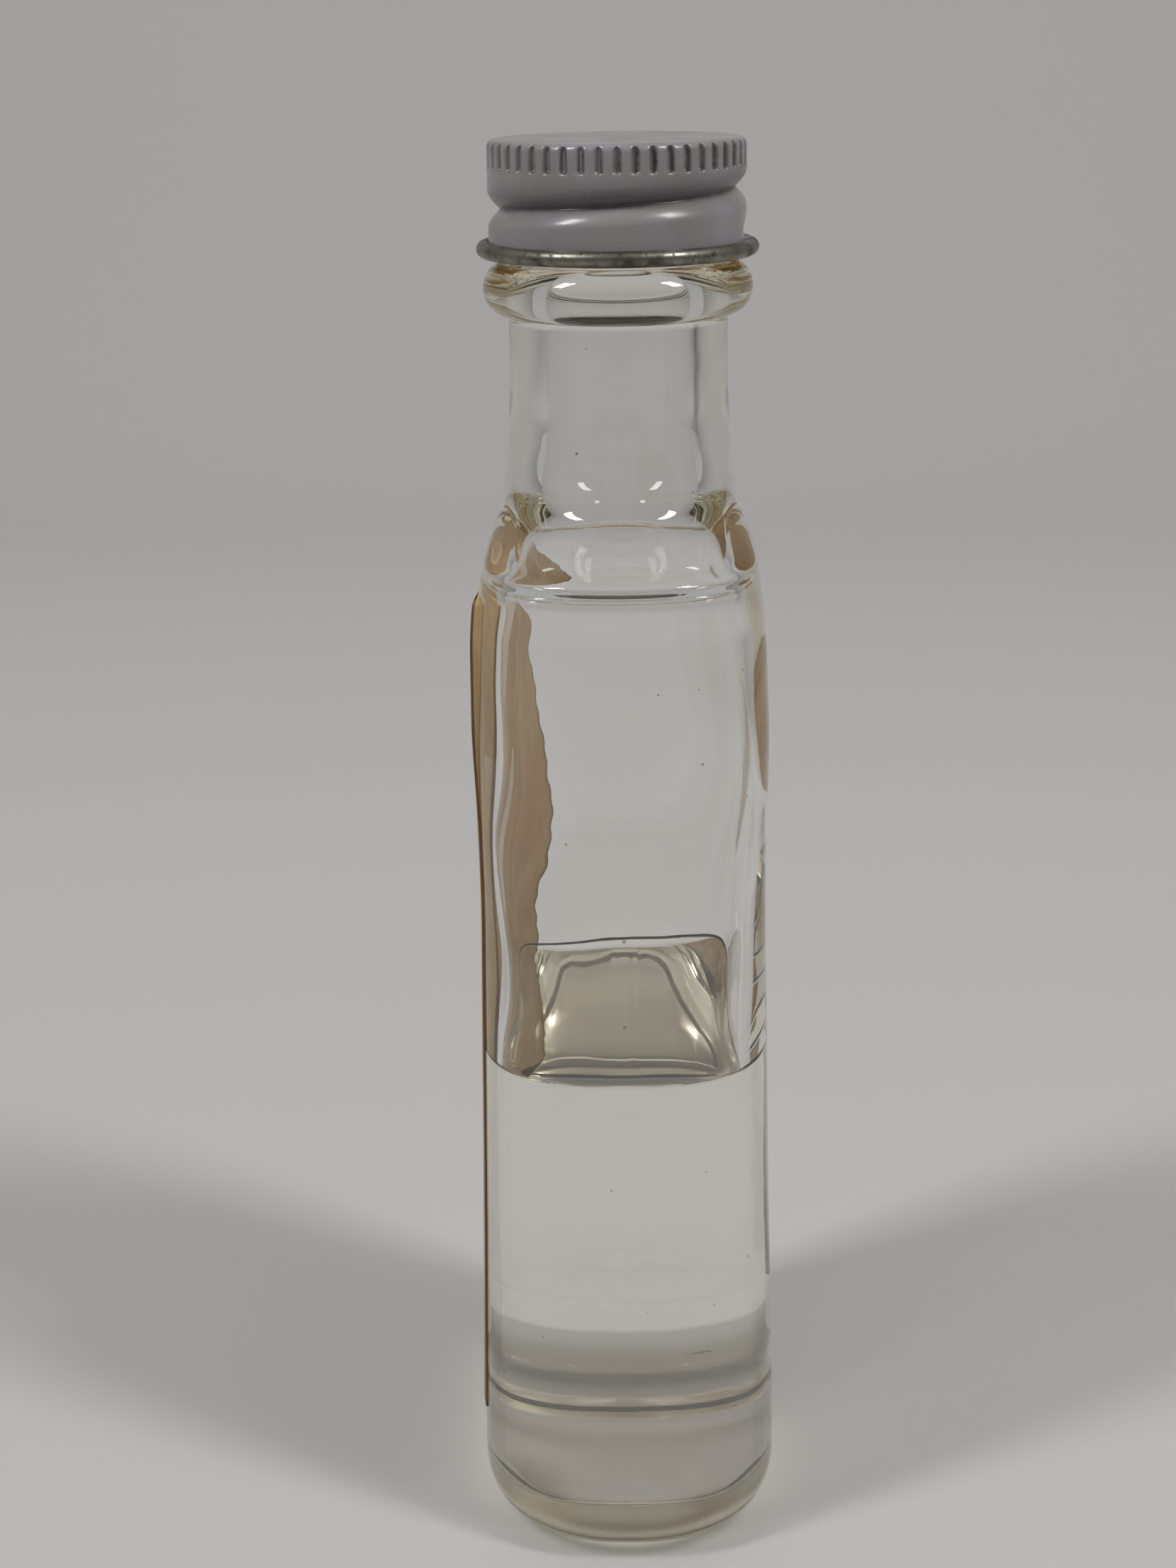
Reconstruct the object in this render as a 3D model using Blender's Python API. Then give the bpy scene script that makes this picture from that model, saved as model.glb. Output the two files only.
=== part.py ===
"""Flat two-ounce extract bottle with a metal screw cap, a paper label and its contents.

Metres, +Z up. The origin is the middle of the base. The wide faces look along -X and +X, the
narrow ends along -Y and +Y, and the label is on the -X face. Every body here is a stack of rings,
each ring the outline of the piece at one height, and each stack is closed at both ends.
"""

import math

import bmesh
import bpy
import numpy as np

for leftover in list(bpy.data.objects):
    bpy.data.objects.remove(leftover, do_unlink=True)

MM = 0.001

# Clearance between pieces that touch, because their meshes may not share a face
SEAT_GAP = 0.3 * MM

# Glass: heights, stacked up from the base to the lip
BODY_HEIGHT = 84.8 * MM
LEDGE_HEIGHT = 1.1 * MM
SHOULDER_HEIGHT = 7.1 * MM
NECK_HEIGHT = 11.4 * MM
COLLAR_HEIGHT = 4.3 * MM
FINISH_HEIGHT = 7.85 * MM

# Glass: half sizes of the body's outline, whose wide faces draw in a little at the waist
HEEL_HALF_WIDTH = 12.9 * MM
WAIST_HALF_WIDTH = 11.85 * MM
CHEST_HALF_WIDTH = 12.05 * MM
LEDGE_HALF_WIDTH = 10.95 * MM
HEEL_HALF_DEPTH = 19.75 * MM
CHEST_HALF_DEPTH = 19.3 * MM
LEDGE_STEP = 0.4 * MM
WAIST_HEIGHT_SHARE = 0.69
CHEST_HEIGHT_SHARE = 0.86
END_ROUNDNESS_SHARE = 0.9
SHOULDER_SLIMNESS = 1.6
SHOULDER_FLATNESS = 2.9
OUTSIDE_SQUARENESS = 2.2

# Glass: rounded heel, flat bearing ring and pushed-up middle of the base
HEEL_RADIUS = 4.5 * MM
BEARING_WIDTH = 1.3 * MM
PUSH_UP = 1.6 * MM
PUSH_UP_RING_SHARES = (0.35, 0.7, 1.0)

# Glass: thickness of its walls, and the hollow's own heel and squarer outline
SIDE_WALL = 2.1 * MM
END_WALL = 2.8 * MM
FLOOR_THICKNESS = 4.6 * MM
CAVITY_HEEL_RADIUS = 5.0 * MM
CAVITY_SQUARENESS = 3.2
CAVITY_SLIMNESS = 1.2
CAVITY_FLATNESS = 2.3

# Glass: neck, collar ring under the cap, bore and threaded finish
NECK_RADIUS = 8.85 * MM
COLLAR_REACH = 2.0 * MM
BORE_RADIUS = 5.9 * MM
LIP_ROUNDING = 0.7 * MM
THREAD_PITCH = 3.175 * MM
THREAD_REACH = 0.87 * MM
THREAD_WIDTH = 2.3 * MM
THREAD_DROP = 1.9 * MM
THREAD_TURNS = 1.1
THREAD_START_ANGLE = math.radians(-100)
THREAD_FADE_TURNS = 0.1

# Screw cap: drawn and rolled tinplate, its groove riding just under the glass thread
SHEET = 0.25 * MM
THREAD_CLEARANCE = 0.33 * MM
BEAD_CLEARANCE = 0.35 * MM
THREAD_OVER_GROOVE = 1.25 * MM
GROOVE_WIDTH = 2.4 * MM
GROOVE_TURNS = 1.28
GROOVE_START_ANGLE = math.radians(80)
CAP_CORNER = 0.6 * MM
CORNER_MIDDLE_SHARE = 0.3
FLUTE_COUNT = 46
FLUTE_BAND = 2.3 * MM
FLUTE_RELIEF = 0.3 * MM
FLUTE_RUN_OUT = 0.5 * MM
CURL_RADIUS = 0.63 * MM

# Liner, label and contents
LINER_THICKNESS = 0.7 * MM
LABEL_THICKNESS = 0.2 * MM
LABEL_FOOT_MARGIN = 6.0 * MM
LABEL_TOP_MARGIN = 1.8 * MM
LABEL_WRAP = 2.0 * MM
FILL_SHARE = 0.49

# How finely each form is cut: facets round a ring, and rings along each form
GLASS_SIDES = 48
FLAT_SIDES = 6
LINER_SIDES = 48
FACETS_PER_FLUTE = 2
HEEL_STEPS = 5
BODY_STEPS = 13
SHOULDER_STEPS = 9
COLLAR_STEPS = 7
THREAD_STEPS = 13
CAVITY_STEPS = 7
CAVITY_HEEL_STEPS = 4
LIQUID_STEPS = 4
SKIRT_STEPS = 10
CURL_STEPS = 6
LABEL_STEPS = 12
LABEL_BEND_STEPS = 2
SHARP_ANGLE = math.radians(40)

LEDGE_TOP = BODY_HEIGHT + LEDGE_HEIGHT
NECK_FOOT = LEDGE_TOP + SHOULDER_HEIGHT
COLLAR_FOOT = NECK_FOOT + NECK_HEIGHT
COLLAR_TOP = COLLAR_FOOT + COLLAR_HEIGHT
RIM = COLLAR_TOP + FINISH_HEIGHT
THREAD_START = RIM - THREAD_DROP

LINER_FOOT = RIM + SEAT_GAP
CAP_UNDERSIDE = LINER_FOOT + LINER_THICKNESS + SEAT_GAP
CAP_TOP = CAP_UNDERSIDE + SHEET
CAP_HEM = COLLAR_TOP + SEAT_GAP
CAP_RADIUS = NECK_RADIUS + THREAD_REACH + THREAD_CLEARANCE + SHEET
GROOVE_DEPTH = THREAD_REACH + THREAD_CLEARANCE - BEAD_CLEARANCE
GROOVE_LEAD_TURNS = (GROOVE_START_ANGLE - THREAD_START_ANGLE) / (2 * math.pi)
GROOVE_START = THREAD_START + THREAD_PITCH * GROOVE_LEAD_TURNS - THREAD_OVER_GROOVE

# How much deeper than wide a ring is before its sides lie quite flat
FLAT_AT_SHARE = CHEST_HALF_DEPTH / CHEST_HALF_WIDTH - 1


def ease(share):
    """Half a cosine from 0 to 1, level at both ends."""
    return (1 - np.cos(np.pi * np.clip(share, 0, 1))) / 2


def between(share, start, end):
    return start + (end - start) * share


def circle(radius, sides, height):
    """A level ring whose radius may differ from point to point."""
    angle = np.arange(sides) * 2 * math.pi / sides
    x = radius * np.cos(angle)
    y = radius * np.sin(angle)
    return np.stack([x, y, np.full(sides, height)], axis=1)


def bulge(angle, squareness):
    """How far the round end stands out from an ellipse: 2 is an ellipse, and more is squarer."""
    return (np.abs(np.cos(angle)) ** squareness + np.abs(np.sin(angle)) ** squareness) ** (
        -1 / squareness
    )


def outline(half_width, half_depth, height, squareness=OUTSIDE_SQUARENESS):
    """A level ring of the bottle: two flat sides joined by round ends, or a circle where it is as
    deep as it is wide. The facets near +X and -X slide out along the flat sides as it deepens."""
    flatness = min(max(half_depth / half_width - 1, 0) / FLAT_AT_SHARE, 1)
    roundness = between(flatness, 1, END_ROUNDNESS_SHARE)
    run = half_depth - roundness * half_width
    angle = np.arange(GLASS_SIDES) * 2 * math.pi / GLASS_SIDES
    lean = np.arcsin(np.sin(angle))
    corner = FLAT_SIDES / GLASS_SIDES * math.pi
    past_corner = np.sign(lean) * np.maximum(np.abs(lean) - corner, 0)
    bend = past_corner * (math.pi / 2) / (math.pi / 2 - corner)
    turned = between(flatness, lean, bend)
    reach = half_width * bulge(turned, between(flatness, 2, squareness))
    x = reach * np.cos(turned) * np.where(np.cos(angle) < 0, -1, 1)
    y = roundness * reach * np.sin(turned) + run * np.clip(lean / corner, -1, 1)
    return np.stack([x, y, np.full(GLASS_SIDES, height)], axis=1)


def thread_relief(sides, height, start, start_angle, turns, width):
    """How much of a thread's relief, 0 to 1, each point of a level ring has. The thread runs down
    clockwise, seen from above, and fades at both ends."""
    angle = np.arange(sides) * 2 * math.pi / sides
    relief = np.zeros(sides)
    for lap in range(math.ceil(turns) + 1):
        gone = (start_angle - angle) / (2 * math.pi) % 1 + lap
        off_middle = (height - start + THREAD_PITCH * gone) / width
        bump = (1 + np.cos(2 * np.pi * np.clip(off_middle, -0.5, 0.5))) / 2
        fade = ease(gone / THREAD_FADE_TURNS) * ease((turns - gone) / THREAD_FADE_TURNS)
        relief = np.maximum(relief, bump * fade)
    return relief


def solid_from_rings(name, rings, material):
    """Skin between each ring and the next, closed by a flat face at the first and the last."""
    mesh = bmesh.new()
    rows = [[mesh.verts.new(point) for point in ring] for ring in rings]
    for lower, upper in zip(rows, rows[1:]):
        for index in range(len(lower)):
            after = (index + 1) % len(lower)
            mesh.faces.new((lower[index], lower[after], upper[after], upper[index]))
    mesh.faces.new(rows[0][::-1])
    mesh.faces.new(rows[-1])
    bmesh.ops.recalc_face_normals(mesh, faces=mesh.faces)
    data = bpy.data.meshes.new(name)
    mesh.to_mesh(data)
    mesh.free()
    data.shade_smooth()
    data.set_sharp_from_angle(angle=SHARP_ANGLE)
    data.materials.append(material)
    piece = bpy.data.objects.new(name, data)
    bpy.context.collection.objects.link(piece)
    return piece


def finish(name, colour, roughness, metallic=0.0, transmission=0.0, ior=1.45):
    """A plain Principled material, its colour linear."""
    material = bpy.data.materials.new(name)
    material.use_nodes = True
    shader = material.node_tree.nodes["Principled BSDF"]
    shader.inputs["Base Color"].default_value = (*colour, 1)
    shader.inputs["Roughness"].default_value = roughness
    shader.inputs["Metallic"].default_value = metallic
    shader.inputs["Transmission Weight"].default_value = transmission
    shader.inputs["IOR"].default_value = ior
    return material


def body_half_width(height):
    """Half the glass's width up to the ledge: heel, in to the waist, out to the chest, and in."""
    waist = WAIST_HEIGHT_SHARE * BODY_HEIGHT
    chest = CHEST_HEIGHT_SHARE * BODY_HEIGHT
    if height < waist:
        rise = (height - HEEL_RADIUS) / (waist - HEEL_RADIUS)
        return between(ease(rise), HEEL_HALF_WIDTH, WAIST_HALF_WIDTH)
    if height < chest:
        rise = (height - waist) / (chest - waist)
        return between(ease(rise), WAIST_HALF_WIDTH, CHEST_HALF_WIDTH)
    rise = (height - chest) / (BODY_HEIGHT - chest)
    return between(rise * rise, CHEST_HALF_WIDTH, LEDGE_HALF_WIDTH)


def body_half_depth(height):
    rise = (height - HEEL_RADIUS) / (BODY_HEIGHT - HEEL_RADIUS)
    return between(rise, HEEL_HALF_DEPTH, CHEST_HALF_DEPTH)


def glass_base():
    """Rings from the middle of the pushed-up base out to the bearing and round the heel."""
    rings = []
    push_width = HEEL_HALF_WIDTH - HEEL_RADIUS - BEARING_WIDTH
    push_depth = HEEL_HALF_DEPTH - HEEL_RADIUS - BEARING_WIDTH
    for share in PUSH_UP_RING_SHARES:
        height = PUSH_UP * (1 - share * share)
        rings.append(outline(push_width * share, push_depth * share, height))
    for step in range(HEEL_STEPS + 1):
        angle = math.pi / 2 * step / HEEL_STEPS
        inset = HEEL_RADIUS * (1 - math.sin(angle))
        height = HEEL_RADIUS * (1 - math.cos(angle))
        rings.append(outline(HEEL_HALF_WIDTH - inset, HEEL_HALF_DEPTH - inset, height))
    return rings


def glass_body():
    """Rings up the flat body, out over the ledge of the narrow ends and over the low shoulder."""
    rings = []
    for step in range(1, BODY_STEPS + 1):
        height = between(step / BODY_STEPS, HEEL_RADIUS, BODY_HEIGHT)
        rings.append(outline(body_half_width(height), body_half_depth(height), height))
    for step in range(SHOULDER_STEPS + 1):
        rise = step / SHOULDER_STEPS
        slope = ease(1 - rise)
        width = between(slope**SHOULDER_SLIMNESS, NECK_RADIUS, LEDGE_HALF_WIDTH)
        depth = between(slope**SHOULDER_FLATNESS, NECK_RADIUS, CHEST_HALF_DEPTH + LEDGE_STEP)
        rings.append(outline(width, depth, between(rise, LEDGE_TOP, NECK_FOOT)))
    return rings


def glass_finish():
    """Rings round the collar and up the threaded finish to the lip."""
    rings = []
    for step in range(COLLAR_STEPS + 1):
        angle = math.pi * step / COLLAR_STEPS
        radius = NECK_RADIUS + COLLAR_REACH * math.sin(angle)
        height = between((1 - math.cos(angle)) / 2, COLLAR_FOOT, COLLAR_TOP)
        rings.append(circle(radius, GLASS_SIDES, height))
    for step in range(1, THREAD_STEPS + 1):
        height = between(step / THREAD_STEPS, COLLAR_TOP, RIM - LIP_ROUNDING)
        relief = thread_relief(
            GLASS_SIDES, height, THREAD_START, THREAD_START_ANGLE, THREAD_TURNS, THREAD_WIDTH
        )
        rings.append(circle(NECK_RADIUS + THREAD_REACH * relief, GLASS_SIDES, height))
    rings.append(circle(NECK_RADIUS - LIP_ROUNDING, GLASS_SIDES, RIM))
    return rings


def hollow(clearance, top, steps):
    """Rings of the hollow in the glass, from its floor up to a height. A clearance draws them in,
    so that the same rings give the inner wall and the contents."""
    rings = []
    floor = FLOOR_THICKNESS + clearance
    for step in range(CAVITY_HEEL_STEPS + 1):
        angle = math.pi / 2 * step / CAVITY_HEEL_STEPS
        inset = CAVITY_HEEL_RADIUS * (1 - math.sin(angle)) + clearance
        height = floor + CAVITY_HEEL_RADIUS * (1 - math.cos(angle))
        width = body_half_width(height) - SIDE_WALL - inset
        depth = body_half_depth(height) - END_WALL - inset
        rings.append(outline(width, depth, height, CAVITY_SQUARENESS))
    for step in range(1, steps + 1):
        height = between(step / steps, floor + CAVITY_HEEL_RADIUS, top)
        width = body_half_width(height) - SIDE_WALL - clearance
        depth = body_half_depth(height) - END_WALL - clearance
        rings.append(outline(width, depth, height, CAVITY_SQUARENESS))
    return rings


def glass_inside():
    """Rings from the lip down the bore and out into the hollow, to its floor."""
    rings = hollow(0, BODY_HEIGHT, CAVITY_STEPS)
    wide = LEDGE_HALF_WIDTH - SIDE_WALL
    deep = CHEST_HALF_DEPTH - END_WALL
    for step in range(1, SHOULDER_STEPS + 1):
        rise = step / SHOULDER_STEPS
        slope = ease(1 - rise)
        width = between(slope**CAVITY_SLIMNESS, BORE_RADIUS, wide)
        depth = between(slope**CAVITY_FLATNESS, BORE_RADIUS, deep)
        height = between(rise, BODY_HEIGHT, NECK_FOOT)
        rings.append(outline(width, depth, height, CAVITY_SQUARENESS))
    rings.append(circle(BORE_RADIUS, GLASS_SIDES, RIM - LIP_ROUNDING))
    rings.append(circle(BORE_RADIUS + LIP_ROUNDING, GLASS_SIDES, RIM))
    return rings[::-1]


def make_glass_bottle():
    flint = finish("flint_glass", (0.86, 0.90, 0.84), 0.03, transmission=1.0, ior=1.52)
    rings = glass_base() + glass_body() + glass_finish() + glass_inside()
    return solid_from_rings("glass_bottle", rings, flint)


def cap_skirt(wall_radius, heights):
    """Rings of the cap's threaded skirt at these heights, its groove pressed in all round."""
    sides = FLUTE_COUNT * FACETS_PER_FLUTE
    rings = []
    for height in heights:
        groove = thread_relief(
            sides, height, GROOVE_START, GROOVE_START_ANGLE, GROOVE_TURNS, GROOVE_WIDTH
        )
        rings.append(circle(wall_radius - GROOVE_DEPTH * groove, sides, height))
    return rings


def cap_curl(sides):
    """Rings round the hem's outward curl, from where it meets the skirt to its inner side."""
    middle = CAP_HEM + CURL_RADIUS
    centre = CAP_RADIUS - SHEET + CURL_RADIUS
    meeting = math.acos((CAP_RADIUS - centre) / CURL_RADIUS)
    rings = []
    for angle in np.linspace(meeting, -math.pi, CURL_STEPS + 1):
        height = middle + CURL_RADIUS * math.sin(angle)
        rings.append(circle(centre + CURL_RADIUS * math.cos(angle), sides, height))
    return rings


def make_screw_cap():
    """Top panel, fluted band, threaded skirt and curl, then back up the inside of the shell."""
    lacquer = finish("white_lacquer", (0.62, 0.62, 0.66), 0.35)
    sides = FLUTE_COUNT * FACETS_PER_FLUTE
    flutes = np.tile((0, 1), FLUTE_COUNT) * FLUTE_RELIEF
    crown = CAP_TOP - CAP_CORNER
    band_foot = crown - FLUTE_BAND
    soften = CAP_CORNER * CORNER_MIDDLE_SHARE
    curl = cap_curl(sides)
    skirt = np.linspace(band_foot, curl[0][0][2], SKIRT_STEPS + 1)
    inner_band = CAP_RADIUS - FLUTE_RELIEF - SHEET
    rings = [
        circle(CAP_RADIUS - CAP_CORNER, sides, CAP_TOP),
        circle(CAP_RADIUS - soften, sides, CAP_TOP - soften),
        circle(CAP_RADIUS, sides, crown),
        circle(CAP_RADIUS - flutes, sides, crown - FLUTE_RUN_OUT),
        circle(CAP_RADIUS - flutes, sides, band_foot + FLUTE_RUN_OUT),
    ]
    rings += cap_skirt(CAP_RADIUS, skirt)
    rings += curl[1:]
    rings += cap_skirt(CAP_RADIUS - SHEET, skirt[::-1])
    rings += [
        circle(inner_band, sides, band_foot + FLUTE_RUN_OUT),
        circle(inner_band, sides, CAP_UNDERSIDE - CAP_CORNER),
        circle(CAP_RADIUS - CAP_CORNER - SHEET, sides, CAP_UNDERSIDE),
    ]
    return solid_from_rings("screw_cap", rings, lacquer)


def make_cap_liner():
    board = finish("pulpboard", (0.55, 0.42, 0.28), 0.9)
    radius = CAP_RADIUS - CAP_CORNER - SHEET - SEAT_GAP
    heights = (LINER_FOOT, LINER_FOOT + LINER_THICKNESS)
    rings = [circle(radius, LINER_SIDES, height) for height in heights]
    return solid_from_rings("cap_liner", rings, board)


def label_section(height):
    """The label at one height: along the glass, round both corners, and back one sheet out."""
    glass = body_half_width(height)
    run = body_half_depth(height) - END_ROUNDNESS_SHARE * glass
    bend = np.linspace(0, LABEL_WRAP / glass, LABEL_BEND_STEPS + 1)
    skins = []
    for skin in (glass + SEAT_GAP, glass + SEAT_GAP + LABEL_THICKNESS):
        reach = skin * bulge(bend, OUTSIDE_SQUARENESS)
        corner_x = -reach * np.cos(bend)
        corner_y = run + END_ROUNDNESS_SHARE * reach * np.sin(bend)
        x = np.concatenate([corner_x[::-1], corner_x])
        y = np.concatenate([-corner_y[::-1], corner_y])
        skins.append(np.stack([x, y, np.full(len(x), height)], axis=1))
    return np.concatenate([skins[0], skins[1][::-1]])


def make_paper_label():
    paper = finish("label_paper", (0.60, 0.47, 0.32), 0.85)
    foot = HEEL_RADIUS + LABEL_FOOT_MARGIN
    top = BODY_HEIGHT - LABEL_TOP_MARGIN
    rings = [label_section(height) for height in np.linspace(foot, top, LABEL_STEPS + 1)]
    return solid_from_rings("paper_label", rings, paper)


def make_extract_liquid():
    extract = finish("extract", (0.93, 0.91, 0.80), 0.0, transmission=1.0, ior=1.36)
    level = between(FILL_SHARE, FLOOR_THICKNESS, BODY_HEIGHT)
    return solid_from_rings("extract_liquid", hollow(SEAT_GAP, level, LIQUID_STEPS), extract)


make_glass_bottle()
make_screw_cap()
make_cap_liner()
make_paper_label()
make_extract_liquid()
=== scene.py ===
"""A flat two-ounce extract bottle, half full, with its screw cap and paper label, on a pale table.

Metres, +Z up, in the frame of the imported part: the origin is the middle of the bottle's base, the
label is on the -X face and the camera looks at the narrow end on the -Y side.
"""

import math

import bpy
import numpy as np
from mathutils import Matrix


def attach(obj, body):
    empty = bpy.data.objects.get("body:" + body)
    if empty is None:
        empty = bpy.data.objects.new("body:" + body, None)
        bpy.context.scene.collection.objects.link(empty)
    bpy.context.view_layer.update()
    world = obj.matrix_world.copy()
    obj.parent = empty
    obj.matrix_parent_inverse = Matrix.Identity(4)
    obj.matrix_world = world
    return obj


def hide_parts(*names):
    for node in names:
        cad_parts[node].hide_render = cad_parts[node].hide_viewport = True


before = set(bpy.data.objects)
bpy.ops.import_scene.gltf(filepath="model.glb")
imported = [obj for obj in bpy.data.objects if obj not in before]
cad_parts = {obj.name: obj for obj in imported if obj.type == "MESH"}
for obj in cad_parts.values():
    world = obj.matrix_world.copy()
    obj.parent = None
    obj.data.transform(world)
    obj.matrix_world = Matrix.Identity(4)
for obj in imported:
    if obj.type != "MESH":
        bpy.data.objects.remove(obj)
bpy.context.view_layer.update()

# The camera stands about 200 mm in front of the bottle and a little above its cap, so the bottle
# narrows towards its base. Its place was solved from the bottle's rims, which show as ellipses.
MM = 0.001
PHOTO_HEIGHT = 2212
FOCAL_PIXELS = 3400
SENSOR_WIDTH = 36
NEAREST_SEEN = 10 * MM
CAMERA_PLACE = (0, -196.6 * MM, 127.8 * MM)
LOOKS_DOWN = math.radians(17.84)
LOOKS_LEFT = math.radians(0.87)
TILTED = math.radians(-0.84)

camera_data = bpy.data.cameras.new("camera")
camera_data.sensor_width = SENSOR_WIDTH
camera_data.lens = SENSOR_WIDTH * FOCAL_PIXELS / PHOTO_HEIGHT
camera_data.clip_start = NEAREST_SEEN
camera = bpy.data.objects.new("camera", camera_data)
aim = Matrix.Rotation(LOOKS_LEFT, 4, "Z") @ Matrix.Rotation(math.pi / 2 - LOOKS_DOWN, 4, "X")
camera.matrix_world = Matrix.Translation(CAMERA_PLACE) @ aim @ Matrix.Rotation(TILTED, 4, "Z")
bpy.context.scene.collection.objects.link(camera)
bpy.context.scene.camera = camera

# Light crosses many faces of thick glass before it leaves it, so a path may take many bounces
GLASS_BOUNCES = 40
scene_paths = bpy.context.scene.cycles
scene_paths.max_bounces = GLASS_BOUNCES
scene_paths.transmission_bounces = GLASS_BOUNCES
scene_paths.glossy_bounces = GLASS_BOUNCES
scene_paths.transparent_max_bounces = GLASS_BOUNCES

# The table is a plain pale sheet that runs on behind the bottle and curves up into a backdrop. It
# is only the stage. Its tone is graded as painted light: a little darker near the bottle than far
# behind it.
SHEET_HALF_WIDTH = 900 * MM
SHEET_FRONT = -700 * MM
SHEET_BACK = 420 * MM
SHEET_BEND_RADIUS = 260 * MM
SHEET_TOP = 900 * MM
SHEET_FLAT_ROWS = 30
SHEET_BEND_ROWS = 40
SHEET_UPRIGHT_ROWS = 20
SHEET_NEAR_TONE = "c0bfbd"
SHEET_FAR_TONE = "d0cdcb"
SHEET_TONE_RUN = 370 * MM
SHEET_ROUGHNESS = 0.55


def linear(code):
    """An sRGB hex colour as Blender's linear colour."""
    parts = [int(code[at : at + 2], 16) / 255 for at in (0, 2, 4)]
    return [*(((p + 0.055) / 1.055) ** 2.4 if p > 0.04045 else p / 12.92 for p in parts), 1]


def add(tree, kind, props=(), values=(), links=()):
    """Adds one node with its settings, the values of its sockets and the links into them."""
    made = tree.nodes.new(kind)
    for name, value in dict(props).items():
        setattr(made, name, value)
    for socket, value in dict(values).items():
        made.inputs[socket].default_value = value
    for socket, source in dict(links).items():
        tree.links.new(source, made.inputs[socket])
    return made


def new_material(name):
    """An empty material: its node tree and its output."""
    material = bpy.data.materials.new(name)
    material.use_nodes = True
    tree = material.node_tree
    tree.nodes.clear()
    return material, tree, add(tree, "ShaderNodeOutputMaterial")


def surface(name, grid, material, ends=True, around=True, loop=False, marks=()):
    """A mesh from a grid of points, shaped (rings, points round a ring, 3). Each ring is joined
    to the next, round the back too if around is set, and the last to the first if loop is set,
    or else ends closes both. Marks are named numbers, one for each point of the grid."""
    rings, sides, _ = grid.shape
    first = np.arange(rings * sides).reshape(rings, sides)
    if around:
        first = np.concatenate([first, first[:, :1]], axis=1)
    if loop:
        first = np.concatenate([first, first[:1]])
    low, high = first[:-1], first[1:]
    quads = np.stack([low[:, :-1], low[:, 1:], high[:, 1:], high[:, :-1]], axis=-1).reshape(-1, 4)
    points = grid.reshape(-1, 3)
    faces = quads.tolist()
    if ends and not loop:
        middles = np.stack([grid[0].mean(axis=0), grid[-1].mean(axis=0)])
        points = np.concatenate([points, middles])
        start, stop = rings * sides, rings * sides + 1
        rim, lid = first[0], first[-1]
        faces += np.stack([np.full(sides, start), rim[1:], rim[:-1]], axis=-1).tolist()
        faces += np.stack([np.full(sides, stop), lid[:-1], lid[1:]], axis=-1).tolist()
    data = bpy.data.meshes.new(name)
    data.from_pydata(points.tolist(), [], faces)
    for mark, numbers in dict(marks).items():
        spread = np.zeros(len(points), dtype=np.float32)
        spread[: rings * sides] = np.broadcast_to(numbers, (rings, sides)).ravel()
        data.attributes.new(mark, "FLOAT", "POINT").data.foreach_set("value", spread)
    data.shade_smooth()
    data.materials.append(material)
    piece = bpy.data.objects.new(name, data)
    bpy.context.scene.collection.objects.link(piece)
    return piece


# The sheet's profile is a flat run, a quarter circle and an upright run, the same all across
bend = np.linspace(0, math.pi / 2, SHEET_BEND_ROWS)
sheet_y = np.concatenate(
    [
        np.linspace(SHEET_FRONT, SHEET_BACK, SHEET_FLAT_ROWS)[:-1],
        SHEET_BACK + SHEET_BEND_RADIUS * np.sin(bend),
        np.full(SHEET_UPRIGHT_ROWS, SHEET_BACK + SHEET_BEND_RADIUS),
    ]
)
sheet_z = np.concatenate(
    [
        np.zeros(SHEET_FLAT_ROWS - 1),
        SHEET_BEND_RADIUS * (1 - np.cos(bend)),
        np.linspace(SHEET_BEND_RADIUS, SHEET_TOP, SHEET_UPRIGHT_ROWS + 1)[1:],
    ]
)
sheet_x = np.array([-SHEET_HALF_WIDTH, 0, SHEET_HALF_WIDTH])
sheet_grid = np.stack(
    np.broadcast_arrays(sheet_x[None, :], sheet_y[:, None], sheet_z[:, None]), axis=-1
)
sheet_finish, tree, output = new_material("pale_sheet")
place = add(tree, "ShaderNodeTexCoord").outputs["Object"]
split = add(tree, "ShaderNodeSeparateXYZ", links={0: place})
way = add(
    tree,
    "ShaderNodeMath",
    {"operation": "ADD"},
    links={0: split.outputs["Y"], 1: split.outputs["Z"]},
)
share = add(
    tree,
    "ShaderNodeMapRange",
    {"interpolation_type": "SMOOTHSTEP"},
    {"From Min": 0, "From Max": SHEET_TONE_RUN},
    {"Value": way.outputs[0]},
)
tone = add(
    tree,
    "ShaderNodeMix",
    {"data_type": "RGBA"},
    {6: linear(SHEET_NEAR_TONE), 7: linear(SHEET_FAR_TONE)},
    {0: share.outputs[0]},
)
sheet_shader = add(
    tree,
    "ShaderNodeBsdfPrincipled",
    values={"Roughness": SHEET_ROUGHNESS},
    links={0: tone.outputs[2]},
)
tree.links.new(sheet_shader.outputs[0], output.inputs[0])
sheet = surface("pale_sheet", sheet_grid, sheet_finish, ends=False, around=False)

# Two soft lamps stand to the left and the right of the bottle, a little in front of it and well
# above it. The room round them is pale behind the bottle and darker behind the camera.
LAMP_DISTANCE = 700 * MM
LAMP_WIDTH = 90 * MM
LAMP_HEIGHT = 260 * MM
LAMP_TURN = math.radians(59)
LAMP_RISE = math.radians(50)
LAMP_POWER = 2.2
AIM_HEIGHT = 60 * MM
ROOM_TONE = "a2a3a5"
ROOM_DARKEST_SHARE = 0.6
ROOM_DARKEST_AT = -0.9
ROOM_PALEST_AT = 0.3

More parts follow.
